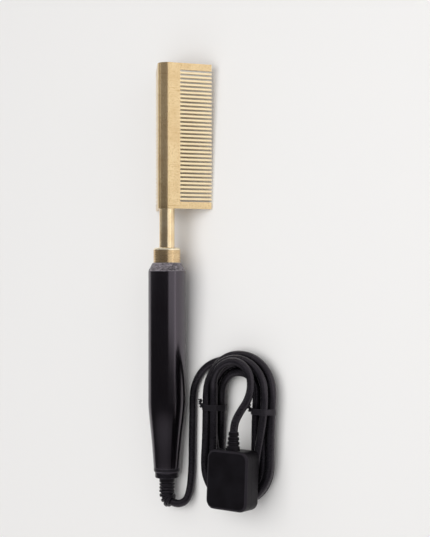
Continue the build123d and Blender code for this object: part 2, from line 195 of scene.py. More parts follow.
@dataclass(frozen=True)
class Finish:
    """One surface finish: its colours, its gloss and the texture that tool or mould left.

    Attributes:
        name: what the material is and how it was made.
        colour: the surface's main sRGB colour.
        dull: the colour of its duller patches.
        worn_and_highlight: the colour of its worn edges, also laid on the comb head's teeth as a painted
            highlight.
        metallic: 1 for a metal.
        roughness: the middle of its roughness.
        swing: how far the roughness goes either way.
        grain_mm: width of one line or pore of the grain.
        run_mm: length of one line of the grain, where it has a direction.
        lay: which way the grain runs.
        depth_mm: how deep the grain is.
        speck_mm: size of the specks.
        speck: how strongly the specks show in the colour.
        patch_mm: size of the duller patches.
        patch: how strongly the patches show in the colour.
        sheen: weight of a dusty sheen.
        ior: index of refraction, for what isn't metal.
        specular: how strongly it reflects at normal incidence, 0.5 for its plain IOR.
        scratch: how strongly the sparse slanting scratches show.
        tint: the colour that it gives to its reflections, for what isn't metal.
    """

    name: str
    colour: str
    dull: str
    worn_and_highlight: str
    metallic: float = 0.0
    roughness: float = 0.5
    swing: float = 0.06
    grain_mm: float = 0.4
    run_mm: float = 12.0
    lay: Lay = Lay.EVEN
    depth_mm: float = 0.01
    speck_mm: float = 0.9
    speck: float = 0.3
    patch_mm: float = 14.0
    patch: float = 1.0
    sheen: float = 0.0
    ior: float = 1.5
    specular: float = 0.5
    scratch: float = 0.0
    tint: str = "ffffff"

    def place(self, tree: bpy.types.NodeTree) -> bpy.types.NodeSocket:
        """Read the point on the piece in the tool's own axes.

        Args:
            tree: the material's node tree.

        Returns:
            The point, in metres.
        """
        where = add_node(tree, "ShaderNodeTexCoord").outputs["Object"]
        turn = tuple(TOOL.axes().inverted().to_euler())
        return add_node(
            tree, "ShaderNodeMapping", values={"Rotation": turn}, links={"Vector": where}
        ).outputs[0]

    def grain(self, tree: bpy.types.NodeTree, place: bpy.types.NodeSocket) -> bpy.types.NodeSocket:
        """Make the grain, drawn out along its lay.

        Args:
            tree: the material's node tree.
            place: the point on the piece.

        Returns:
            The grain's height.
        """
        squeeze = self.grain_mm / self.run_mm
        stretch = tuple(squeeze if along else 1.0 for along in self.lay.value)
        drawn = add_node(
            tree, "ShaderNodeMapping", values={"Scale": stretch}, links={"Vector": place}
        ).outputs[0]
        scale = 1.0 / (self.grain_mm * MM)
        values = {"Scale": scale, "Detail": GRAIN_DETAIL, "Roughness": NOISE_ROUGHNESS}
        return add_node(tree, "ShaderNodeTexNoise", values=values, links={"Vector": drawn}).outputs[0]

    def marks(
        self, tree: bpy.types.NodeTree, place: bpy.types.NodeSocket, size_mm: float,
        part: tuple[float, float], strength: float, detail: float = 2.0,
    ) -> bpy.types.NodeSocket:
        """Scatter marks of a real size over the surface.

        Args:
            tree: the material's node tree.
            place: the point on the piece.
            size_mm: how large one mark is.
            part: which part of the noise's range turns into marks.
            strength: how strongly a mark shows.
            detail: how many finer layers the noise has.

        Returns:
            How much of a mark there is at the point.
        """
        values = {"Scale": 1.0 / (size_mm * MM), "Detail": detail, "Roughness": NOISE_ROUGHNESS}
        noise = add_node(tree, "ShaderNodeTexNoise", values=values, links={"Vector": place}).outputs[0]
        values = {"From Min": part[0], "From Max": part[1], "To Min": 0.0, "To Max": strength}
        return add_node(tree, "ShaderNodeMapRange", values=values, links={"Value": noise}).outputs[0]

    def scratches(self, tree: bpy.types.NodeTree, place: bpy.types.NodeSocket) -> bpy.types.NodeSocket:
        """Make sparse thin scratches, slanting across the tool.

        Args:
            tree: the material's node tree.
            place: the point on the piece.

        Returns:
            How much of a scratch there is at the point.
        """
        values = {"Rotation": (0.0, 0.0, SCRATCH_SLANT), "Scale": (SCRATCH_STRETCH, 1.0, SCRATCH_STRETCH)}
        slanted = add_node(tree, "ShaderNodeMapping", values=values, links={"Vector": place}).outputs[0]
        return self.marks(tree, slanted, SCRATCH_MM, SCRATCH_RANGE, self.scratch, detail=1.0)

    def paint(self, tree: bpy.types.NodeTree, place: bpy.types.NodeSocket) -> bpy.types.NodeSocket:
        """Lay the duller patches, the specks, the scratches, the worn edges and the teeth's painted
        highlight over the main colour.

        Args:
            tree: the material's node tree.
            place: the point on the piece.

        Returns:
            The surface's colour.
        """
        layers = [
            (self.marks(tree, place, self.patch_mm, PATCH_RANGE, self.patch), self.dull),
            (self.marks(tree, place, self.speck_mm, SPECK_RANGE, self.speck), self.dull),
        ]
        if self.scratch:
            layers.append((self.scratches(tree, place), self.dull))
        # Worn edges, and on the teeth a painted highlight, in the edge colour.
        edge = add_node(tree, "ShaderNodeAttribute", {"attribute_name": WEAR_AND_HIGHLIGHT}).outputs["Fac"]
        layers.append((edge, self.worn_and_highlight))
        colour = None
        for share, over in layers:
            values, links = {OVER: linear(over)}, {0: share}
            if colour is None:
                values[UNDER] = linear(self.colour)
            else:
                links[UNDER] = colour
            mix = add_node(tree, "ShaderNodeMix", {"data_type": "RGBA"}, values, links)
            colour = mix.outputs[MIXED]
        return colour

    def build(self) -> bpy.types.Material:
        """Build the material, once.

        Returns:
            The material.
        """
        if self.name in bpy.data.materials:
            return bpy.data.materials[self.name]
        material = bpy.data.materials.new(self.name)
        material.use_nodes = True
        tree = material.node_tree
        tree.nodes.clear()
        place = self.place(tree)
        grain = self.grain(tree, place)
        low, high = GLOSS_RANGE
        gloss = add_node(
            tree,
            "ShaderNodeMapRange",
            values={
                "From Min": low,
                "From Max": high,
                "To Min": self.roughness - self.swing,
                "To Max": self.roughness + self.swing,
            },
            links={"Value": grain},
        ).outputs[0]
        bump = add_node(
            tree,
            "ShaderNodeBump",
            values={"Distance": self.depth_mm * MM, "Strength": 1.0},
            links={"Height": grain},
        ).outputs[0]
        shader = add_node(
            tree,
            "ShaderNodeBsdfPrincipled",
            values={
                "Metallic": self.metallic,
                "IOR": self.ior,
                "Specular IOR Level": self.specular,
                "Specular Tint": linear(self.tint),
                "Sheen Weight": self.sheen,
            },
            links={"Base Color": self.paint(tree, place), "Roughness": gloss, "Normal": bump},
        )
        add_node(tree, "ShaderNodeOutputMaterial", links={"Surface": shader.outputs[0]})
        return material


# The faint violet that soot-black plastics give to what they reflect.
VIOLET_CAST = "f3e6f5"

# Cast brass, ground flat: warm, pale, with fine lines along the grinding and dull specks. Its edge colour
# also lightens the teeth as a painted highlight.
GROUND_BRASS = Finish(
    "ground brass", "ecd2a4", "c9a673", "fff0cc", metallic=1.0, roughness=0.23, swing=0.05,
    grain_mm=0.4, run_mm=14.0, lay=Lay.LENGTHWISE, depth_mm=0.005, speck_mm=0.8, speck=0.8, patch_mm=12.0,
    patch=0.3, scratch=1.0,
)
# Drawn brass tube: smoother and paler than the cast head, with the die's fine lines along it.
DRAWN_BRASS = Finish(
    "drawn brass tube", "ffe9c0", "e9c998", "fff2d8", metallic=1.0, roughness=0.2, swing=0.05,
    grain_mm=0.3, run_mm=20.0, lay=Lay.LENGTHWISE, depth_mm=0.002, speck_mm=1.0, speck=0.3, patch_mm=8.0,
    patch=0.5,
)
# Turned brass: lathe lines round it, brightest on its rounded edges.
TURNED_BRASS = Finish(
    "turned brass", "e7cca0", "bc986d", "fff2d4", metallic=1.0, roughness=0.26, swing=0.06,
    grain_mm=0.28, run_mm=14.0, lay=Lay.ROUND, depth_mm=0.0015, speck_mm=0.7, speck=0.7, patch_mm=6.0,
    patch=0.4,
)
# Contact brass: plain strip, cleaner and yellower.
CONTACT_BRASS = Finish(
    "contact brass strip", "d8b36c", "b8924e", "edd08f", metallic=1.0, roughness=0.3,
    grain_mm=0.3, run_mm=6.0, lay=Lay.ROUND, depth_mm=0.003,
)
# Nickel-plated brass blades: pale, slightly warm, drawn along their length.
PLATED_BLADE = Finish(
    "nickel-plated brass", "d3cdbd", "b5ad9b", "ece7da", metallic=1.0, roughness=0.24,
    grain_mm=0.25, run_mm=8.0, depth_mm=0.003,
)
# Stainless heater sheath: greyish, drawn along the tool.
HEATER_STEEL = Finish(
    "stainless heater sheath", "b9b6b0", "948f88", "d6d4d0", metallic=1.0, roughness=0.34,
    lay=Lay.LENGTHWISE, depth_mm=0.004,
)
# Resistance wire, oxidised dark by heat, its turns seen as rings.
HEATER_WIRE = Finish(
    "oxidised resistance wire", "7c7670", "5a544e", "9c968f", metallic=1.0, roughness=0.5,
    grain_mm=0.8, run_mm=40.0, lay=Lay.ROUND, depth_mm=0.15,
)
# Spring steel: blue-grey, rolled.
SPRING_STEEL = Finish(
    "rolled spring steel", "9c9da1", "7b7c80", "bcbdc0", metallic=1.0, roughness=0.36, depth_mm=0.004,
)
# Tinned copper crimps: bright and slightly lumpy.
TINNED_CRIMP = Finish(
    "tinned copper crimp", "d3d4d6", "b0b1b4", "e8e8ea", metallic=1.0, roughness=0.28, grain_mm=0.8,
)
# The fuse's drawn aluminium can.
FUSE_CAN = Finish(
    "drawn aluminium can", "d6d6d8", "b8b8bb", "ececee", metallic=1.0, roughness=0.32, lay=Lay.LENGTHWISE,
)
# Mica tube: brownish, flaky, with a soft glint.
MICA_TUBE = Finish(
    "rolled mica tube", "b8a78a", "9a8768", "cfc1a6", roughness=0.4, grain_mm=1.2, depth_mm=0.03, speck=0.5,
)
# Unglazed ceramic: chalky off-white.
CERAMIC_CORE = Finish("unglazed ceramic", "eae6dc", "d8d2c4", "f2efe8", roughness=0.8, grain_mm=0.3)
# Glass-fibre sleeving: off-white braid, its strands along and round the lead.
BRAIDED_SLEEVE = Finish(
    "braided glass-fibre sleeve", "ebe8dd", "d2cdbd", "f5f3ec", roughness=0.75, grain_mm=0.5, run_mm=1.5,
    lay=Lay.LENGTHWISE, depth_mm=0.12, sheen=0.3,
)
# Moulded phenolic of the bush: dark brown.
PHENOLIC_BUSH = Finish("moulded phenolic", "7d5f48", "674c38", "937560", roughness=0.55, grain_mm=0.5)
# Glass-filled phenolic of the nose: grey-black, mottled by its filler, matte.
NOSE_PHENOLIC = Finish(
    "glass-filled phenolic nose", "867f85", "1d1a1e", "9a9399", roughness=0.4, grain_mm=0.9,
    depth_mm=0.14, speck_mm=1.1, speck=1.0, patch_mm=2.2, patch=0.8,
)
# The handle's moulded phenolic, polished: near black, with a soft haze over a clear reflection.
HANDLE_BLACK = Finish(
    "polished black phenolic", "040304", "080709", "1b191d", roughness=0.17, swing=0.03, grain_mm=0.7,
    depth_mm=0.001, speck_mm=1.2, speck=0.6, patch_mm=18.0, ior=1.6, specular=1.0, tint=VIOLET_CAST,
)
# The end cap: moulded nylon, satin, with a paler rim where it is rubbed.
CAP_NYLON = Finish(
    "moulded black nylon", "121114", "1c1b1e", "3a373d", roughness=0.3, grain_mm=0.5, tint=VIOLET_CAST,
)
# The swivel ring and stem: moulded acetal, satin.
SWIVEL_ACETAL = Finish(
    "moulded black acetal", "0c0b0e", "151417", "29272c", roughness=0.28, grain_mm=0.5, specular=0.4,
    tint=VIOLET_CAST,
)
# The brushes' carrier: moulded cream plastic.
CARRIER_CREAM = Finish("moulded cream polyamide", "dfd9cb", "cfc7b4", "ebe7dc", roughness=0.5, grain_mm=0.5)
# The boot's soft PVC: satin, its ribs rubbed grey along their edges.
BOOT_PVC = Finish(
    "moulded soft black PVC", "070608", "0d0c0e", "302e33", roughness=0.36, grain_mm=0.45, depth_mm=0.006,
    specular=0.35, tint=VIOLET_CAST,
)
# The plug's harder PVC: duller, because its mould was lightly blasted.
PLUG_PVC = Finish(
    "moulded black PVC plug", "09080a", "111013", "222024", roughness=0.48, grain_mm=0.6, depth_mm=0.006,
    specular=0.2, tint=VIOLET_CAST,
)
# The cord's extruded PVC: satin, with a faint ripple.
CORD_PVC = Finish(
    "extruded black PVC cord", "100f12", "19181b", "2a282d", roughness=0.3, grain_mm=1.1, depth_mm=0.01,
    speck_mm=1.0, patch_mm=12.0, tint=VIOLET_CAST,
)
# The ties' wire, coated in black plastic: satin.
TIE_COATING = Finish(
    "coated twist-tie wire", "101012", "1a191c", "2a292d", roughness=0.4, grain_mm=0.4, tint=VIOLET_CAST,
)

# The CAD nodes that stay as they are, most of them inside the shells, and what each is made of.
HIDDEN_FINISHES = {
    "heater_sheath": HEATER_STEEL,
    "heater_insulation": MICA_TUBE,
    "heater_winding": HEATER_WIRE,
    "heater_core": CERAMIC_CORE,
    "insulating_bush": PHENOLIC_BUSH,
    "retaining_washer": SPRING_STEEL,
    "contact_carrier": CARRIER_CREAM,
    "brush_line": CONTACT_BRASS,
    "brush_neutral": CONTACT_BRASS,
    "lead_wire_line_front": BRAIDED_SLEEVE,
    "lead_wire_line_rear": BRAIDED_SLEEVE,
    "lead_wire_neutral": BRAIDED_SLEEVE,
    "thermal_fuse": FUSE_CAN,
    "fuse_sleeve": BRAIDED_SLEEVE,
    "crimp_connectors": TINNED_CRIMP,
    "swivel_circlip": SPRING_STEEL,
    "slip_ring_line": CONTACT_BRASS,
    "slip_ring_neutral": CONTACT_BRASS,
    "plug_blade_narrow": PLATED_BLADE,
    "plug_blade_wide": PLATED_BLADE,
}


# ---------------------------------------------------------------------------------------------
# Making meshes
# ---------------------------------------------------------------------------------------------


def set_wear_and_highlight(bm: bmesh.types.BMesh, faces: Sequence[bmesh.types.BMFace], amount: float) -> None:
    """Note how worn faces are, and how much painted highlight the teeth take, in the attribute that the
    finishes read.

    Args:
        bm: the mesh.
        faces: the faces.
        amount: 0 for the plain surface, 1 for a fully worn edge; the teeth take a share of it as a painted
            highlight.
    """
    layer = bm.loops.layers.float_color.get(WEAR_AND_HIGHLIGHT)
    if layer is None:
        layer = bm.loops.layers.float_color.new(WEAR_AND_HIGHLIGHT)
        set_wear_and_highlight(bm, bm.faces, 0.0)
    for face in faces:
        for loop in face.loops:
            loop[layer] = (amount, amount, amount, 1.0)


def bevel_edges(
    bm: bmesh.types.BMesh, edges: list[bmesh.types.BMEdge], width: float, segments: int
) -> None:
    """Round edges and note the new faces as worn.

    Args:
        bm: the mesh.
        edges: the edges to round.
        width: how far the rounding reaches from each edge.
        segments: how many faces it has across.
    """
    made = bmesh.ops.bevel(
        bm, geom=edges, offset=width, segments=segments, profile=0.5, affect="EDGES", material=-1
    )
    set_wear_and_highlight(bm, made["faces"], 1.0)


def sharp_edges(bm: bmesh.types.BMesh) -> list[bmesh.types.BMEdge]:
    """The edges at which two faces meet sharply."""
    return [e for e in bm.edges if len(e.link_faces) == 2 and e.calc_face_angle(0.0) > SHARP_EDGE]


def open_edges(bm: bmesh.types.BMesh) -> list[bmesh.types.BMEdge]:
    """The edges round a mesh's open ends."""
    return [e for e in bm.edges if len(e.link_faces) == 1]


def add_piece(
    bm: bmesh.types.BMesh, name: str, body: Body, finish: Finish,
    placement: Matrix, replaced: Sequence[str],
) -> bpy.types.Object:
    """Turn a finished mesh in millimetres into a piece of the model.

    Args:
        bm: the mesh, which is freed.
        name: the piece's name.
        body: the body that it rides on.
        finish: its finish.
        placement: from the mesh's millimetres to the row's metres.
        replaced: the CAD nodes that it stands for.

    Returns:
        The piece.
    """
    bm.transform(placement)
    bmesh.ops.recalc_face_normals(bm, faces=bm.faces)
    for face in bm.faces:
        face.smooth = True
    for edge in bm.edges:
        edge.smooth = edge.calc_face_angle(0.0) < SHARP_EDGE
    mesh = bpy.data.meshes.new(name)
    bm.to_mesh(mesh)
    bm.free()
    mesh.materials.append(finish.build())
    piece = bpy.data.objects.new(name, mesh)
    bpy.context.scene.collection.objects.link(piece)
    weighted = piece.modifiers.new("even normals", "WEIGHTED_NORMAL")
    weighted.keep_sharp = True
    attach(piece, body.value)
    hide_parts(*replaced)
    LOG.info("%s rides on %s, with %d faces", name, body.value, len(mesh.polygons))
    return piece


@dataclass(frozen=True)
class Corner:
    """A corner of a turned part's profile.

    Attributes:
        radius: distance from the axis.
        station: place along the axis.
        ease: how far its rounding reaches, or 0 for a sharp corner.
    """

    radius: float
    station: float
    ease: float = 0.0


def turned_part(corners: Sequence[Corner], steps: int = 96, segments: int = 3) -> bmesh.types.BMesh:
    """Spin a closed profile about the tool's axis and round its corners.

    Args:
        corners: the profile's corners, in order.
        steps: how many faces the part has round it.
        segments: how many faces a rounding has across.

    Returns:
        The mesh, in millimetres along the tool.
    """
    bm = bmesh.new()
    verts = [bm.verts.new((c.radius, c.station, 0.0)) for c in corners]
    edges = [bm.edges.new((a, b)) for a, b in zip(verts, verts[1:] + verts[:1])]
    bmesh.ops.spin(
        bm, geom=verts + edges, cent=(0, 0, 0), axis=(0, 1, 0), angle=math.tau, steps=steps, use_merge=True
    )
    bmesh.ops.remove_doubles(bm, verts=bm.verts, dist=DOUBLES)
    ends = open_edges(bm)
    if ends:
        bmesh.ops.holes_fill(bm, edges=ends, sides=0)
    bmesh.ops.recalc_face_normals(bm, faces=bm.faces)
    for corner in corners:
        if corner.ease > 0.0:
            ring = [e for e in bm.edges if all(on_ring(v.co, corner) for v in e.verts)]
            bevel_edges(bm, ring, corner.ease, segments)
    return bm


def on_ring(point: Vector, corner: Corner) -> bool:
    """Whether a point lies on the ring that a corner makes."""
    radius = math.hypot(point.x, point.z)
    return abs(radius - corner.radius) < SAME_PLACE and abs(point.y - corner.station) < SAME_PLACE


def across(angle: float) -> Vector:
    """The direction in the section, at an angle from x towards z, in degrees."""
    return Vector((math.cos(math.radians(angle)), 0.0, math.sin(math.radians(angle))))


def draw_arc(
    bm: bmesh.types.BMesh, vert: bmesh.types.BMVert, centre: Vector, angle: float, steps: int
) -> bmesh.types.BMVert:
    """Draw an arc in the section on from a vertex.

    Args:
        bm: the mesh.
        vert: where the arc starts.
        centre: its middle.
        angle: how far it turns from x towards z, in degrees.
        steps: how many edges it has.

    Returns:
        The arc's last vertex.
    """
    made = bmesh.ops.spin(
        bm, geom=[vert], cent=centre, axis=(0, -1, 0), angle=math.radians(angle), steps=steps
    )
    return next(g for g in made["geom_last"] if isinstance(g, bmesh.types.BMVert))


def draw_run(bm: bmesh.types.BMesh, vert: bmesh.types.BMVert, place: Vector) -> bmesh.types.BMVert:
    """Draw a straight run on from a vertex.

    Args:
        bm: the mesh.
        vert: where the run starts.
        place: where it ends.

    Returns:
        The run's last vertex.
    """
    made = bmesh.ops.extrude_vert_indiv(bm, verts=[vert])
    made["verts"][0].co = place
    return made["verts"][0]


# ---------------------------------------------------------------------------------------------
# The comb head and its neck
# ---------------------------------------------------------------------------------------------


@dataclass
class CombHead:
    """The brass barrel with its two slotted legs, and the neck that it sits on. Sizes in mm."""

    start: float = 38.9
    length: float = 104.6
    barrel_radius: float = 6.8
    leg_angle: float = 76.5
    leg_reach: float = 31.9
    root_thick: float = 3.2
    tip_thick: float = 1.8
    land: float = 8.0
    slot_count: int = 34
    slot_pitch: float = 2.83
    slot_width: float = 1.25
    arc_step: float = 5.0
    tip_ease: float = 0.5
    tip_segments: int = 3
    # How much of the edge colour the teeth and their sides take, as a painted highlight.
    tooth_painted_highlight: float = 0.55
    edge_ease: float = 0.13
    edge_segments: int = 2
    neck_radius: float = 5.5
    neck_wall: float = 1.0
    neck_back: float = -36.0
    neck_front: float = 48.35
    neck_ease: float = 0.2

    def leg_place(self, along: float, inwards: float, side: int) -> Vector:
        """Find a point of the section.

        Args:
            along: distance along a leg from the barrel's side.
            inwards: distance in from the leg's outer face.
            side: 1 for the leg towards +x, -1 for the other.

        Returns:
            The point, at station 0.
        """
        half = math.radians(self.leg_angle / 2)
        out = self.barrel_radius - inwards
        x = out * math.cos(half) + along * math.sin(half)
        z = out * math.sin(half) - along * math.cos(half)
        return Vector((side * x, 0.0, z))

    def thick_at(self, along: float) -> float:
        """The leg's thickness at a distance along it."""
        return self.root_thick + (self.tip_thick - self.root_thick) * along / self.leg_reach

    def inner_start(self) -> float:
        """Work out where a leg's inner face comes out of the barrel.

        Returns:
            The distance along the leg, at which the face is as far from the middle as the barrel's side.
        """
        # The larger root of the square equation that sets the two distances equal.
        slope = (self.root_thick - self.tip_thick) / self.leg_reach
        near = self.barrel_radius - self.root_thick
        a, b, c = 1 + slope**2, 2 * slope * near, near**2 - self.barrel_radius**2
        return (-b + math.sqrt(b * b - 4 * a * c)) / (2 * a)

    def stations(self) -> list[float]:
        """List the head's two ends and both sides of each slot.

        Returns:
            Their stations, in order.
        """
        first = (self.length - (self.slot_count - 1) * self.slot_pitch - self.slot_width) / 2
        places = [0.0]
        for i in range(self.slot_count):
            places += [first + i * self.slot_pitch, first + i * self.slot_pitch + self.slot_width]
        return [self.start + p for p in places + [self.length]]

    def outline(self, bm: bmesh.types.BMesh) -> None:
        """Draw the section's closed outline at the head's near end.

        Args:
            bm: the mesh to draw it in.
        """
        start = Vector((0.0, self.start, 0.0))
        leaves = self.inner_start()
        root = self.thick_at(self.land)
        inner = self.leg_place(leaves, self.thick_at(leaves), 1)
        low = math.degrees(math.atan2(inner.z, inner.x))
        first = bm.verts.new(self.leg_place(0, 0, 1) + start)
        back = 180.0 - self.leg_angle
        vert = draw_arc(bm, first, start, back, round(back / self.arc_step))
        for along, inwards in ((self.land, 0.0), (self.land, root), (leaves, self.thick_at(leaves))):
            vert = draw_run(bm, vert, self.leg_place(along, inwards, -1) + start)
        front = 180.0 + 2 * low
        vert = draw_arc(bm, vert, start, front, round(front / self.arc_step))
        for along, inwards in ((self.land, root), (self.land, 0.0)):
            vert = draw_run(bm, vert, self.leg_place(along, inwards, 1) + start)
        bm.edges.new((vert, first))

    def teeth(self, bm: bmesh.types.BMesh) -> None:
        """Draw each tooth out of the edge of its leg.

        Args:
            bm: the mesh of the barrel and the legs' plain strips.
        """
        places = self.stations()
        for side in (1, -1):
            outer = self.leg_place(self.land, 0, side)
            edge = (outer + self.leg_place(self.land, self.thick_at(self.land), side)) / 2
            for low, high in zip(places[::2], places[1::2]):
                middle = edge + Vector((0.0, (low + high) / 2, 0.0))
                face = min(bm.faces, key=lambda f: (f.calc_center_median() - middle).length_squared)
                tip = bmesh.ops.extrude_discrete_faces(bm, faces=[face])["faces"][0]
                sides = {f for e in tip.edges for f in e.link_faces} - {tip}
                # Each tooth and its sides take part of the edge colour, a painted highlight that shows the
                # teeth lighter than the plain strips.
                if high - low < self.slot_pitch:
                    set_wear_and_highlight(bm, [tip, *sides], self.tooth_painted_highlight)
                for vert in tip.verts:
                    outside = (vert.co - outer).xz.length < self.tip_thick / 2
                    inwards = 0.0 if outside else self.tip_thick
                    place = self.leg_place(self.leg_reach, inwards, side)
                    vert.co = Vector((place.x, vert.co.y, place.z))
                bevel_edges(bm, list(tip.edges), self.tip_ease, self.tip_segments)

    def head(self) -> bmesh.types.BMesh:
        """Make the barrel, legs and teeth as one closed mesh.

        Returns:
            The mesh, in millimetres along the tool.
        """
        bm = bmesh.new()
        self.outline(bm)
        ring = list(bm.edges)
        for before, after in pairwise(self.stations()):
            made = bmesh.ops.extrude_edge_only(bm, edges=ring)["geom"]
            verts = [g for g in made if isinstance(g, bmesh.types.BMVert)]
            bmesh.ops.translate(bm, verts=verts, vec=(0.0, after - before, 0.0))
            new = set(verts)
            ring = [g for g in made if isinstance(g, bmesh.types.BMEdge) and new.issuperset(g.verts)]
        bmesh.ops.holes_fill(bm, edges=open_edges(bm), sides=0)
        bmesh.ops.recalc_face_normals(bm, faces=bm.faces)
        self.teeth(bm)
        bmesh.ops.recalc_face_normals(bm, faces=bm.faces)
        bevel_edges(bm, sharp_edges(bm), self.edge_ease, self.edge_segments)
        return bm

    def neck(self) -> bmesh.types.BMesh:
        """Make the drawn tube between head and handle.

        Returns:
            The mesh, in millimetres along the tool.
        """
        inner = self.neck_radius - self.neck_wall
        return turned_part(
            [
                Corner(inner, self.neck_back),
                Corner(self.neck_radius, self.neck_back, self.neck_ease),
                Corner(self.neck_radius, self.neck_front, self.neck_ease),
                Corner(inner, self.neck_front),
            ]
        )

    def build(self) -> None:
        """Build and dress the head and the neck."""
        placement = TOOL.matrix()
        add_piece(self.head(), "comb_head_dressed", Body.COMB, GROUND_BRASS,
                  placement, ["comb_head"])
        add_piece(self.neck(), "neck_tube_dressed", Body.COMB, DRAWN_BRASS,
                  placement, ["neck_tube"])


# ---------------------------------------------------------------------------------------------
# The handle, from collar to end cap
# ---------------------------------------------------------------------------------------------


@dataclass
class Handle:
    """Collar, nose ring, handle shell and end cap. Sizes in mm."""

    collar_length: float = 11.0
    collar_radius: float = 9.7
    collar_bore: float = 5.55
    collar_ease: float = 1.7
    collar_foot_ease: float = 0.4
    shoulder_radius: float = 10.4
    shoulder_length: float = 5.8
    nose_ease: float = 0.3
    radius: float = 13.4
    end_radius: float = 9.5
    length: float = 147.0
    straight_length: float = 99.0
    wall: float = 2.65
    end_slope: float = 0.08
    rear_bore_depth: float = 38.0
    spigot_depth: float = 6.5
    rim_ease: float = 0.22
    taper_steps: int = 24
    shell_steps: int = 128
    rounding_segments: int = 4
    cap_thick: float = 3.0
    cap_ease: float = 0.9
    cap_bore: float = 5.08
    cap_spigot: float = 6.0
    fit: float = 0.05

    def taper_radius(self, share: float) -> float:
        """Work out the taper, which starts level, is halfway at its middle and ends at the end slope.

        Args:
            share: how far along the taper, from 0 at the grip to 1 at the handle's end.

        Returns:
            The handle's radius there.
        """
        # The fourth-degree curve that these conditions leave, by its square, cube and fourth power.
        end = self.end_slope * (self.length - self.straight_length) / (self.radius - self.end_radius)
        square = end + 3.0
        drop = square * share**2 + (7.0 - 3.0 * square) * share**3 + (2.0 * square - 6.0) * share**4
        return self.radius - (self.radius - self.end_radius) * drop

    def collar(self) -> bmesh.types.BMesh:
        """Make the turned collar over the joint between neck and handle.

        Returns:
            The mesh, in millimetres along the tool.
        """
        return turned_part(
            [
                Corner(self.collar_bore, 0.0),
                Corner(self.collar_radius, 0.0, self.collar_foot_ease),
                Corner(self.collar_radius, self.collar_length, self.collar_ease),
                Corner(self.collar_bore, self.collar_length, self.rim_ease),
            ],
            segments=self.rounding_segments,
        )

    def nose(self) -> bmesh.types.BMesh:
        """Make the heat-resistant cone behind the collar, with its spigot.

        Returns:
            The mesh, in millimetres along the tool.
        """
        bore = self.radius - self.wall - self.fit
        back = -self.shoulder_length - self.spigot_depth
        return turned_part(
            [
                Corner(self.collar_bore, 0.0),
                Corner(self.shoulder_radius, 0.0, self.nose_ease),
                Corner(self.radius, -self.shoulder_length, self.rim_ease),
                Corner(bore, -self.shoulder_length),
                Corner(bore, back, self.nose_ease),
                Corner(self.collar_bore, back),
            ]
        )

    def shell(self) -> bmesh.types.BMesh:
        """Make the hollow handle: its straight grip, then the taper to its end.

        Returns:
            The mesh, in millimetres along the tool.
        """
        bore, rear_bore = self.radius - self.wall, self.end_radius - self.wall
        turn = -self.length + self.rear_bore_depth
        outside = [Corner(self.radius, -self.shoulder_length, self.rim_ease)]
        for i in range(self.taper_steps):
            share = i / self.taper_steps
            station = -self.straight_length - share * (self.length - self.straight_length)
            outside.append(Corner(self.taper_radius(share), station))
        outside.append(Corner(self.end_radius, -self.length, self.rim_ease))
        inside = [
            Corner(rear_bore, -self.length),
            Corner(rear_bore, turn),
            Corner(bore, turn + bore - rear_bore),
            Corner(bore, -self.shoulder_length),
        ]
        return turned_part(outside + inside, steps=self.shell_steps)

    def cap(self) -> bmesh.types.BMesh:
        """Make the rounded cap at the handle's end, with the swivel's bearing in its spigot.

        Returns:
            The mesh, in millimetres along the tool.
        """
        back = -self.length - self.cap_thick
        spigot = self.end_radius - self.wall - self.fit
        front = -self.length + self.cap_spigot
        return turned_part(
            [
                Corner(self.cap_bore, back, self.rim_ease),
                Corner(self.end_radius, back, self.cap_ease),
                Corner(self.end_radius, -self.length, self.rim_ease),
                Corner(spigot, -self.length),
                Corner(spigot, front),
                Corner(self.cap_bore, front),
            ],
            segments=self.rounding_segments,
        )

    def build(self) -> None:
        """Build and dress the handle's pieces."""
        placement = TOOL.matrix()
        add_piece(self.collar(), "collar_dressed", Body.COMB, TURNED_BRASS,
                  placement, ["collar"])
        add_piece(self.nose(), "nose_ring_dressed", Body.COMB, NOSE_PHENOLIC,
                  placement, ["nose_ring"])
        add_piece(self.shell(), "handle_shell_dressed", Body.COMB, HANDLE_BLACK,
                  placement, ["handle_shell"])
        add_piece(self.cap(), "end_cap_dressed", Body.COMB, CAP_NYLON, placement, ["end_cap"])


# ---------------------------------------------------------------------------------------------
# The swivel and its boot
# ---------------------------------------------------------------------------------------------


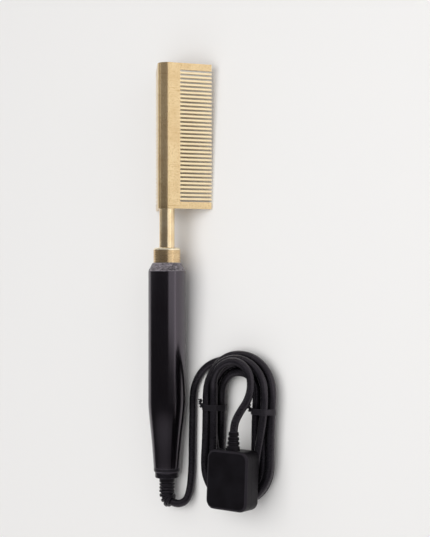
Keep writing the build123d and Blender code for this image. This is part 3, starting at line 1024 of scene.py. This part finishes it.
@dataclass
class Swivel:
    """The ring behind the end cap, its stem and the ribbed boot. Sizes in mm."""

    ring_front: float = -150.3
    ring_length: float = 3.8
    ring_radius: float = 8.5
    ring_ease: float = 0.5
    stem_radius: float = 5.0
    stem_thin_radius: float = 3.6
    stem_bore: float = 1.6
    circlip_back: float = -140.7
    stem_front: float = -118.7
    boot_radius: float = 5.5
    core_radius: float = 4.45
    boot_neck: float = 3.4
    rib_count: int = 6
    rib_pitch: float = 2.4
    rib_width: float = 1.4
    rib_ease: float = 0.33
    straight_length: float = 11.0
    bend_radius: float = 6.5
    tip_length: float = 1.0
    tip_ease: float = 0.45
    boot_steps: int = 64

    def ring_back(self) -> float:
        """The station where the boot starts."""
        return self.ring_front - self.ring_length

    def hub(self) -> bmesh.types.BMesh:
        """Make the ring with its hollow stem.

        Returns:
            The mesh, in millimetres along the tool.
        """
        back = self.ring_back()
        return turned_part(
            [
                Corner(self.stem_bore, back),
                Corner(self.ring_radius, back, self.ring_ease),
                Corner(self.ring_radius, self.ring_front, self.ring_ease),
                Corner(self.stem_radius, self.ring_front),
                Corner(self.stem_radius, self.circlip_back),
                Corner(self.stem_thin_radius, self.circlip_back),
                Corner(self.stem_thin_radius, self.stem_front),
                Corner(self.stem_bore, self.stem_front),
            ]
        )

    def boot_place(self, point: Vector) -> Vector:
        """Find where a point of the straight boot goes when the boot bends to its side.

        Args:
            point: the point before the bend.

        Returns:
            The point after it.
        """
        along = self.ring_back() - point.y
        turn = max(0.0, along - self.straight_length) / self.bend_radius
        straight = min(along, self.straight_length)
        x = self.bend_radius * (1 - math.cos(turn)) + point.x * math.cos(turn)
        y = self.ring_back() - straight - self.bend_radius * math.sin(turn) + point.x * math.sin(turn)
        return Vector((x, y, point.z))

    def boot(self) -> bmesh.types.BMesh:
        """Make the ribbed boot, turned straight and then bent.

        Returns:
            The mesh, in millimetres along the tool.
        """
        back = self.ring_back()
        neck = back - self.boot_neck
        corners = [
            Corner(0.0, back),
            Corner(self.boot_radius, back, self.rib_ease),
            Corner(self.boot_radius, neck, self.rib_ease),
            Corner(self.core_radius, neck),
        ]
        for i in range(self.rib_count):
            end = neck - (i + 1) * self.rib_pitch
            corners += [
                Corner(self.core_radius, end + self.rib_width),
                Corner(self.boot_radius, end + self.rib_width, self.rib_ease),
                Corner(self.boot_radius, end, self.rib_ease),
                Corner(self.core_radius, end),
            ]
        tip = neck - self.rib_count * self.rib_pitch - self.tip_length
        corners += [Corner(self.core_radius, tip, self.tip_ease), Corner(0.0, tip)]
        bm = turned_part(corners, steps=self.boot_steps)
        for vert in bm.verts:
            vert.co = self.boot_place(vert.co)
        return bm

    def build(self) -> list[bpy.types.Object]:
        """Build and dress the swivel's pieces.

        Returns:
            The boot alone.
        """
        placement = TOOL.matrix()
        add_piece(self.hub(), "swivel_hub_dressed", Body.SWIVEL, SWIVEL_ACETAL,
                  placement, ["swivel_hub"])
        boot = add_piece(self.boot(), "strain_relief_boot_dressed", Body.SWIVEL, BOOT_PVC,
                         placement, ["strain_relief_boot"])
        return [boot]


# ---------------------------------------------------------------------------------------------
# The cord, its coil and its ties
# ---------------------------------------------------------------------------------------------


# Strands that lie close together have their middles at the corners of 60 degree triangles.
PACKING = 60.0


class Slot(Enum):
    """Where a turn lies in the coil: strands out from the middle of its section, and its layer."""

    FLOOR_INNER = (-0.5, 0)
    FLOOR_OUTER = (0.5, 0)
    MIDDLE_INNER = (-1.0, 1)
    MIDDLE = (0.0, 1)
    MIDDLE_OUTER = (1.0, 1)
    TOP_INNER = (-0.5, 2)
    TOP_OUTER = (0.5, 2)


@dataclass
class Cord:
    """The mains cord, coiled beside the handle, and the two ties round it. Sizes in mm."""

    diameter: float = 5.5
    strand_pitch: float = 6.15
    coil_x: float = 57.5
    coil_y: float = -100.0
    coil_width: float = 57.7
    coil_length: float = 109.0
    length_m: float = 1.58
    smoothness: int = 6
    bend_steps: int = 8
    side_steps: int = 3
    swell_power: float = 1.5
    change_turns: float = 0.125
    first_angle: float = 105.0
    first_turn: float = 0.02
    order: tuple[Slot, ...] = (
        Slot.FLOOR_OUTER,
        Slot.FLOOR_INNER,
        Slot.MIDDLE_INNER,
        Slot.MIDDLE,
        Slot.MIDDLE_OUTER,
        Slot.TOP_OUTER,
        Slot.TOP_INNER,
    )
    last_turn: float = 5.84
    looseness: float = 0.25
    seed: int = 7
    tie_offset: float = 14.0
    tie_width: float = 4.0
    tie_thick: float = 0.5
    tie_ease: float = 0.15
    tie_steps: int = 4
    tie_hold: float = 12.0
    tie_fade: float = 26.0
    twist_angle: float = 150.0
    twist_length: float = 6.0
    twist_pitch: float = 3.2
    twist_strand: float = 0.75
    twist_lean: float = 0.2
    twist_start: float = -0.5
    twist_steps: int = 16
    twist_sides: int = 8
    lead: tuple[tuple[float, float, float], ...] = (
        (4.145, -155.623, 9.304),
        (6.568, -156.563, 9.248),
        (10.7, -156.6, 8.7),
        (14.3, -154.8, 7.6),
        (16.3, -151.3, 6.2),
        (16.7, -143.7, 4.2),
        (16.6, -130.5, 2.8),
        (16.0, -112.0, 2.8),
        (15.8, -94.0, 2.8),
        (15.2, -76.6, 2.8),
        (19.3, -65.0, 2.8),
        (28.0, -56.4, 2.8),
        (39.6, -52.4, 2.8),
    )
    tail: tuple[tuple[float, float, float], ...] = (
        (40.7, -74.0, 15.0),
        (42.0, -66.0, 17.6),
        (45.8, -58.8, 19.2),
        (52.2, -53.8, 19.4),
        (60.2, -52.2, 19.4),
        (67.6, -55.2, 19.4),
        (72.6, -61.6, 19.5),
        (74.0, -70.0, 20.1),
        (72.2, -78.8, 21.5),
        (67.4, -86.6, 23.3),
        (63.7, -94.6, 24.2),
        (63.7, -100.0, 24.2),
    )

    def mean_radius(self) -> float:
        """The radius of the coil's bends at the middle of its section."""
        return (self.coil_width - self.diameter) / 2 - self.strand_pitch

    def half_side(self) -> float:
        """Half the length of the coil's straight sides."""
        return (self.coil_length - self.coil_width) / 2

    def layer_height(self, layer: float) -> float:
        """The height of a strand's middle in a layer."""
        return self.diameter / 2 + layer * self.strand_pitch * math.sin(math.radians(PACKING))

    def held(self, y: float) -> float:
        """How firmly the ties hold a strand there, and so how far they lift it: from 0 to 1."""
        away = abs(y - self.coil_y - self.tie_offset)
        return min(1.0, max(0.0, (self.tie_fade - away) / (self.tie_fade - self.tie_hold)))

    def slot_at(self, turns: float) -> tuple[float, float]:
        """Find the slot that the cord is in after some turns, or its place between two.

        Args:
            turns: how many turns it has made since it came into the coil.

        Returns:
            Strands out from the middle of the section, and the layer.
        """
        before = 1.0 - self.change_turns
        index = min(int(turns / before), len(self.order) - 1)
        here = Vector(self.order[index].value)
        if index == 0:
            return here.x, here.y
        share = (turns - index * before) / self.change_turns
        last = Vector(self.order[index - 1].value)
        mixed = last.lerp(here, min(1.0, share))
        return mixed.x, mixed.y

    def racetrack(self) -> list[tuple[float, float, float, float]]:
        """Divide one turn of the coil, clockwise from the start of its far bend.

        Returns:
            For each point the y of the bend's middle, the direction outwards in degrees, how far
            along a straight side it is, or 0 on a bend, and the share of the turn so far.
        """
        bend = math.pi * self.mean_radius()
        side = 2 * self.half_side()
        whole = 2 * (bend + side)
        points = []
        for half, angle, y in ((0, 180.0, self.half_side()), (1, 0.0, -self.half_side())):
            for i in range(self.bend_steps + 1):
                share = i / self.bend_steps
                done = half * 0.5 + share * bend / whole
                points.append((y, angle - 180.0 * share, 0.0, done))
            for i in range(1, self.side_steps):
                share = i / self.side_steps
                done = half * 0.5 + (bend + share * side) / whole
                points.append((y * (1 - 2 * share), angle - 180.0, share, done))
        return points

    def coil(self) -> list[Vector]:
        """Wind the coil, turn after turn, from where the lead comes in.

        Returns:
            Its control points, in millimetres in the row's axes.
        """
        random = Random(self.seed)
        swell = 1 / math.cos(math.pi / self.bend_steps / 2) ** self.swell_power
        bend = math.pi * self.mean_radius()
        whole = 2 * (bend + 2 * self.half_side())
        entry = (180.0 - self.first_angle) / 180.0 * bend / whole
        points = []
        for turn in range(math.ceil(self.last_turn) + 1):
            for y, angle, on_side, done in self.racetrack():
                turns = turn + done - entry
                if not self.first_turn < turns < self.last_turn:
                    continue
                out, layer = self.slot_at(turns)
                radius = self.mean_radius() + out * self.strand_pitch
                radius = radius if on_side else radius * swell
                held = self.held(self.coil_y + y + radius * math.sin(math.radians(angle)))
                radius += random.uniform(-self.looseness, self.looseness) * (1.0 - held)
                x = self.coil_x + radius * math.cos(math.radians(angle))
                at_y = self.coil_y + y + radius * math.sin(math.radians(angle))
                points.append(Vector((x, at_y, self.layer_height(layer) + held * self.tie_thick)))
        return points

    def line(self) -> bpy.types.Object:
        """Draw the cord as one round curve, from the boot to the plug.

        Returns:
            The curve's object.
        """
        route = [Vector(p) for p in self.lead] + self.coil() + [Vector(p) for p in self.tail]
        curve = bpy.data.curves.new("mains_cord", "CURVE")
        curve.dimensions = "3D"
        curve.bevel_depth = self.diameter / 2 * MM
        curve.bevel_resolution = self.smoothness
        curve.resolution_u = self.smoothness
        curve.use_fill_caps = True
        spline = curve.splines.new("NURBS")
        spline.points.add(len(route) - 1)
        for point, place in zip(spline.points, route):
            point.co = (*(place * MM), 1.0)
        spline.order_u = 3
        spline.use_endpoint_u = True
        curve.materials.append(CORD_PVC.build())
        cord = bpy.data.objects.new("mains_cord", curve)
        bpy.context.scene.collection.objects.link(cord)
        return cord

    def tie(self, side: int) -> bmesh.types.BMesh:
        """Make one tie: a flat coated wire round the strands, its two ends twisted together.

        Args:
            side: 1 for the coil's side towards +x, -1 for the other.

        Returns:
            The mesh, in millimetres in the row's axes.
        """
        middle = Vector((
            self.coil_x + side * self.mean_radius(),
            self.coil_y + self.tie_offset,
            self.layer_height(1) + self.tie_thick,
        ))
        outer = self.diameter / 2 + self.tie_thick
        bm = bmesh.new()
        first = vert = bm.verts.new(middle + across(0) * self.strand_pitch + across(-PACKING / 2) * outer)
        for i in range(round(360 / PACKING)):
            hub = middle + across(i * PACKING) * self.strand_pitch
            if i:
                vert = draw_run(bm, vert, hub + across((i - 0.5) * PACKING) * outer)
            vert = draw_arc(bm, vert, hub, PACKING, self.tie_steps)
        bm.edges.new((vert, first))
        bmesh.ops.translate(bm, verts=bm.verts, vec=(0.0, -self.tie_width / 2, 0.0))
        made = bmesh.ops.extrude_edge_only(bm, edges=list(bm.edges))["geom"]
        moved = [g for g in made if isinstance(g, bmesh.types.BMVert)]
        bmesh.ops.translate(bm, verts=moved, vec=(0.0, self.tie_width, 0.0))
        bmesh.ops.recalc_face_normals(bm, faces=bm.faces)
        bmesh.ops.solidify(bm, geom=list(bm.faces), thickness=self.tie_thick)
        bevel_edges(bm, sharp_edges(bm), self.tie_ease, segments=2)
        self.twist(bm, middle)
        return bm

    def twist(self, bm: bmesh.types.BMesh, middle: Vector) -> None:
        """Add a tie's two ends, twisted together and bent flat along the strands.

        Args:
            bm: the tie's mesh.
            middle: the middle of the strands that it holds.
        """
        flat = self.strand_pitch * math.cos(math.radians(PACKING / 2)) + self.diameter / 2 + self.tie_thick
        out = across(self.twist_angle)
        start = middle + out * (flat + self.twist_strand)
        way = (out * self.twist_lean + Vector((0.0, 1.0, 0.0))).normalized()
        upright = Matrix.Rotation(math.radians(90), 3, "X")
        steps = round(self.twist_length / self.twist_pitch * self.twist_steps)
        for side in (1, -1):
            place = start + Vector((0.0, self.twist_start, side * self.twist_strand))
            made = bmesh.ops.create_circle(bm, segments=self.twist_sides, radius=self.twist_strand)["verts"]
            bmesh.ops.rotate(bm, verts=made, cent=(0, 0, 0), matrix=upright)
            bmesh.ops.translate(bm, verts=made, vec=place)
            ring = list({e for v in made for e in v.link_edges})
            spun = bmesh.ops.spin(
                bm, geom=ring, cent=start, axis=way, dvec=way * self.twist_length / steps,
                angle=math.tau * self.twist_length / self.twist_pitch, steps=steps,
            )
            last = [g for g in spun["geom_last"] if isinstance(g, bmesh.types.BMEdge)]
            bmesh.ops.holes_fill(bm, edges=ring + last, sides=0)

    def build(self, on_cord: Sequence[bpy.types.Object | str]) -> None:
        """Build and dress the cord and its ties.

        Args:
            on_cord: the pieces that sit on the cord; not used.
        """
        cord = self.line()
        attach(cord, Body.SWIVEL.value)
        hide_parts("cord_lead", "cord_coil", "cord_tail")
        for side, name in ((-1, "tie_near_handle"), (1, "tie_far_side")):
            replaced = ["cord_ties"] if side < 0 else []
            add_piece(self.tie(side), name, Body.SWIVEL, TIE_COATING,
                                  ROW, replaced)
        LOG.info("mains_cord rides on swivel, declared %.2f m long", self.length_m)


# ---------------------------------------------------------------------------------------------
# The plug
# ---------------------------------------------------------------------------------------------


@dataclass
class Plug:
    """The flat moulded plug that lies on the coil, with the cord's sleeve. Sizes in mm."""

    centre_x: float = 63.7
    bottom: float = 16.452
    end_y: float = -152.0
    width: float = 32.0
    length: float = 40.0
    thick: float = 15.5
    corner: float = 6.0
    corner_segments: int = 8
    edge_round: float = 1.6
    edge_segments: int = 4
    under_round: float = 0.5
    under_segments: int = 2
    parting_height: float = 9.0
    parting_width: float = 0.25
    parting_depth: float = 0.12
    relief_root: float = 1.0
    relief_length: float = 12.0
    relief_radius: float = 4.6
    relief_end_radius: float = 3.4
    relief_ease: float = 0.3
    relief_steps: int = 48
    groove_count: int = 3
    groove_width: float = 1.1
    groove_depth: float = 0.7
    groove_ease: float = 0.2

    def body(self) -> bmesh.types.BMesh:
        """Make the plug's moulded block, with its parting line.

        Returns:
            The mesh, in millimetres in the row's axes.
        """
        bm = bmesh.new()
        bmesh.ops.create_cube(bm, size=1.0)
        bmesh.ops.scale(bm, verts=bm.verts, vec=(self.width, self.length, self.thick))
        centre = (self.centre_x, self.end_y + self.length / 2, self.bottom + self.thick / 2)
        bmesh.ops.translate(bm, verts=bm.verts, vec=centre)
        upright = [e for e in bm.edges if abs(e.verts[0].co.z - e.verts[1].co.z) > self.thick / 2]
        bmesh.ops.bevel(
            bm, geom=upright, offset=self.corner, segments=self.corner_segments, profile=0.5,
            affect="EDGES", material=-1,
        )
        for height, reach, segments in (
            (self.bottom + self.thick, self.edge_round, self.edge_segments),
            (self.bottom, self.under_round, self.under_segments),
        ):
            rim = [e for e in bm.edges if all(abs(v.co.z - height) < SAME_PLACE for v in e.verts)]
            bevel_edges(bm, rim, reach, segments)
        for height in (0.0, self.parting_width / 2, self.parting_width):
            bmesh.ops.bisect_plane(
                bm, geom=bm.verts[:] + bm.edges[:] + bm.faces[:],
                plane_co=(0, 0, self.bottom + self.parting_height + height), plane_no=(0, 0, 1),
            )
        line = self.bottom + self.parting_height + self.parting_width / 2
        middle = Vector(centre)
        for vert in bm.verts:
            if abs(vert.co.z - line) < SAME_PLACE:
                flat = (vert.co - middle).xy.normalized() * self.parting_depth
                vert.co -= Vector((flat.x, flat.y, 0.0))
        return bm

    def relief_at(self, along: float) -> float:
        """The sleeve's radius at a distance from the plug."""
        slope = (self.relief_radius - self.relief_end_radius) / self.relief_length
        return self.relief_radius - slope * along

    def relief(self) -> bmesh.types.BMesh:
        """Make the tapered sleeve where the cord leaves the plug, with its flexing grooves.

        Returns:
            The mesh, in millimetres in the row's axes.
        """
        corners = [
            Corner(0.0, -self.relief_root),
            Corner(self.relief_radius, -self.relief_root),
            Corner(self.relief_radius, 0.0),
        ]
        pitch = self.relief_length / (self.groove_count + 1)
        for i in range(self.groove_count):
            start = (i + 1) * pitch - self.groove_width / 2
            end = start + self.groove_width
            corners += [
                Corner(self.relief_at(start), start, self.groove_ease),
                Corner(self.relief_at(start) - self.groove_depth, start),
                Corner(self.relief_at(end) - self.groove_depth, end),
                Corner(self.relief_at(end), end, self.groove_ease),
            ]
        corners.append(Corner(self.relief_end_radius, self.relief_length, self.relief_ease))
        corners.append(Corner(0.0, self.relief_length))
        bm = turned_part(corners, steps=self.relief_steps)
        place = (self.centre_x, self.end_y + self.length, self.bottom + self.thick / 2)
        bmesh.ops.translate(bm, verts=bm.verts, vec=place)
        return bm

    def build(self) -> list[bpy.types.Object]:
        """Build and dress the plug's pieces.

        Returns:
            All the pieces at the cord's far end, the CAD blades among them.
        """
        body = add_piece(self.body(), "plug_body_dressed", Body.SWIVEL, PLUG_PVC,
                         ROW, ["plug_body"])
        relief = add_piece(self.relief(), "plug_relief_dressed", Body.SWIVEL, PLUG_PVC,
                           ROW, ["plug_relief"])
        blades = [frame["nodes"][name] for name in ("plug_blade_narrow", "plug_blade_wide")]
        return [body, relief, *blades]


# ---------------------------------------------------------------------------------------------
# What the shells hide
# ---------------------------------------------------------------------------------------------


def dress_carried_nodes() -> None:
    """Give each CAD node that stays its own finish."""
    for name, finish in HIDDEN_FINISHES.items():
        node = frame["nodes"][name]
        node.data.materials.clear()
        node.data.materials.append(finish.build())
        LOG.info("%s keeps its CAD mesh, in %s", name, finish.name)


# ---------------------------------------------------------------------------------------------
# The studio
# ---------------------------------------------------------------------------------------------


@dataclass(frozen=True)
class Panel:
    """A soft panel that points at a place.

    Attributes:
        name: the lamp's name.
        place: its middle, in metres.
        target: where it points, in metres.
        size: its width along the tool and its height, in metres.
        watts: its power.
        glossy: whether reflections show it.
    """

    name: str
    place: tuple[float, float, float]
    target: tuple[float, float, float]
    size: tuple[float, float]
    watts: float
    glossy: bool = True

    def build(self) -> None:
        """Hang the panel, its width along the tool."""
        data = bpy.data.lights.new(self.name, "AREA")
        data.shape = "RECTANGLE"
        data.size, data.size_y = self.size
        data.energy = self.watts
        lamp = bpy.data.objects.new(self.name, data)
        back = (Vector(self.place) - Vector(self.target)).normalized()
        up = back.cross(Vector((0.0, 1.0, 0.0))).normalized()
        turn = Matrix((up.cross(back), up, back)).transposed()
        lamp.matrix_world = Matrix.Translation(self.place) @ turn.to_4x4()
        lamp.visible_glossy = self.glossy
        bpy.context.scene.collection.objects.link(lamp)


@dataclass
class Studio:
    """The floor, the surround, the panels and the camera.

    The surround is pale at the horizon and soft grey above. Across it goes a dim band, given by
    how far a direction leans along the tool, which the brass and the handle show as a dark side.
    """

    panels: tuple[Panel, ...] = (
        Panel("right panel", (0.64, 0.24, 0.285), (0.0, 0.24, 0.02), (0.72, 0.58), 1.0),
        Panel("upper left strip", (-0.81, 0.38, 0.61), (0.0, 0.09, 0.02), (0.7, 0.3), 0.18),
        Panel("rear panel", (0.0, -0.95, 0.85), (0.0, 0.0, 0.0), (0.5, 1.5), 1.4),
        Panel("front panel", (0.0, 1.05, 0.95), (0.0, 0.0, 0.0), (0.5, 1.5), 1.4),
        Panel("overhead", (0.0, 0.0, 1.6), (0.0, 0.0, 0.0), (1.6, 1.6), 20.5, glossy=False),
    )
    floor_size: float = 20.0
    floor_colour: str = "eeedeb"
    floor_roughness: float = 0.9
    floor_specular: float = 0.1
    backdrop_colour: str = "eeeceb"
    backdrop_from: float = 0.36
    backdrop_to: float = 0.8
    backdrop_top: float = 0.2
    dim_colour: str = "373638"
    bright_colour: str = "989799"
    dim_middle: float = -0.19
    dim_half: float = 0.11
    bright_half: float = 0.25
    focal_mm: float = 69.83
    sensor_mm: float = 36.0
    distance_mm: float = 750.0
    aside_mm: float = 34.6
    middle_station: float = -4.0
    view_angle: float = 32.75

    def backdrop(
        self, tree: bpy.types.NodeTree, shader: bpy.types.NodeSocket, share: bpy.types.NodeSocket
    ) -> bpy.types.NodeSocket:
        """Show the camera and all reflections the plain backdrop in place of a shader.

        Args:
            tree: the floor's node tree.
            shader: the floor's own shader, which keeps the tool's shadow.
            share: how much of the backdrop is seen.

        Returns:
            The mixed shader.
        """
        rays = add_node(tree, "ShaderNodeLightPath").outputs
        seen = rays["Is Camera Ray"]
        for operation, other in (
            ("MAXIMUM", rays["Is Glossy Ray"]),
            ("MAXIMUM", rays["Is Transmission Ray"]),
            ("MULTIPLY", share),
        ):
            seen = add_node(
                tree, "ShaderNodeMath", {"operation": operation}, links={0: seen, 1: other}
            ).outputs[0]
        colour = {"Color": linear(self.backdrop_colour)}
        plain = add_node(tree, "ShaderNodeEmission", values=colour).outputs[0]
        return add_node(tree, "ShaderNodeMixShader", links={0: seen, 1: shader, 2: plain}).outputs[0]

    def floor(self) -> None:
        """Lay the plain pale floor, which turns into the plain backdrop far from the tool."""
        bm = bmesh.new()
        bmesh.ops.create_grid(bm, x_segments=1, y_segments=1, size=self.floor_size / 2)
        mesh = bpy.data.meshes.new("floor")
        bm.to_mesh(mesh)
        bm.free()
        material = bpy.data.materials.new("painted board floor")
        material.use_nodes = True
        tree = material.node_tree
        shader = tree.nodes["Principled BSDF"]
        shader.inputs["Base Color"].default_value = linear(self.floor_colour)
        shader.inputs["Roughness"].default_value = self.floor_roughness
        shader.inputs["Specular IOR Level"].default_value = self.floor_specular
        where = add_node(tree, "ShaderNodeTexCoord").outputs["Object"]
        away = add_node(
            tree, "ShaderNodeVectorMath", {"operation": "LENGTH"}, links={0: where}
        ).outputs["Value"]
        share = add_node(
            tree, "ShaderNodeMapRange", {"interpolation_type": "SMOOTHSTEP"},
            {"From Min": self.backdrop_from, "From Max": self.backdrop_to}, {"Value": away},
        ).outputs[0]
        surface = self.backdrop(tree, shader.outputs[0], share)
        tree.links.new(surface, tree.nodes["Material Output"].inputs["Surface"])
        mesh.materials.append(material)
        floor = bpy.data.objects.new("floor", mesh)
        bpy.context.scene.collection.objects.link(floor)

    def world(self) -> None:
        """Make the surround, from the pale horizon up, with its dim band."""
        world = bpy.data.worlds.new("soft grey surround")
        world.use_nodes = True
        tree = world.node_tree
        smooth = {"interpolation_type": "SMOOTHSTEP"}
        colours = {"data_type": "RGBA"}
        way = add_node(tree, "ShaderNodeTexCoord").outputs["Generated"]
        parts = add_node(tree, "ShaderNodeSeparateXYZ", links={"Vector": way}).outputs
        past = add_node(
            tree, "ShaderNodeMath", {"operation": "SUBTRACT"}, {1: self.dim_middle}, {0: parts["Y"]}
        ).outputs[0]
        away = add_node(tree, "ShaderNodeMath", {"operation": "ABSOLUTE"}, links={0: past}).outputs[0]
        share = add_node(
            tree, "ShaderNodeMapRange", smooth,
            {"From Min": self.dim_half, "From Max": self.bright_half}, {"Value": away},
        ).outputs[0]
        grey = add_node(
            tree, "ShaderNodeMix", colours,
            {UNDER: linear(self.dim_colour), OVER: linear(self.bright_colour)}, {0: share},
        ).outputs[MIXED]
        height = add_node(
            tree, "ShaderNodeMapRange", smooth,
            {"From Min": 0.0, "From Max": self.backdrop_top}, {"Value": parts["Z"]},
        ).outputs[0]
        whole = add_node(
            tree, "ShaderNodeMix", colours,
            {UNDER: linear(self.backdrop_colour)}, {0: height, OVER: grey},
        ).outputs[MIXED]
        tree.links.new(whole, tree.nodes["Background"].inputs["Color"])
        bpy.context.scene.world = world

    def camera(self) -> None:
        """Place the camera, which looks down on the tool from the coil's side."""
        data = bpy.data.cameras.new("camera")
        data.lens = self.focal_mm
        data.sensor_width = self.sensor_mm
        angle = math.radians(self.view_angle)
        right = Vector((math.cos(angle), 0.0, -math.sin(angle)))
        back = Vector((math.sin(angle), 0.0, math.cos(angle)))
        spot = Vector((0.0, self.middle_station, 0.0)) + right * self.aside_mm + back * self.distance_mm
        turn = Matrix((right, Vector((0.0, 1.0, 0.0)), back)).transposed()
        camera = bpy.data.objects.new("camera", data)
        camera.matrix_world = Matrix.Translation(TOOL.matrix() @ spot) @ (TOOL.axes() @ turn).to_4x4()
        bpy.context.scene.collection.objects.link(camera)
        bpy.context.scene.camera = camera

    def build(self) -> None:
        """Set up the whole studio."""
        self.floor()
        self.world()
        for panel in self.panels:
            panel.build()
        self.camera()
        bpy.context.scene.view_settings.view_transform = "Standard"


# ---------------------------------------------------------------------------------------------
# Order of work
# ---------------------------------------------------------------------------------------------


def main() -> None:
    """Build the studio and every piece, in order."""
    logging.basicConfig(level=logging.INFO, format="%(name)s: %(message)s")
    Studio().build()
    boot = Swivel().build()
    plug = Plug().build()
    Cord().build([*boot, *plug])
    CombHead().build()
    Handle().build()
    dress_carried_nodes()


if __name__ == "__main__":
    main()
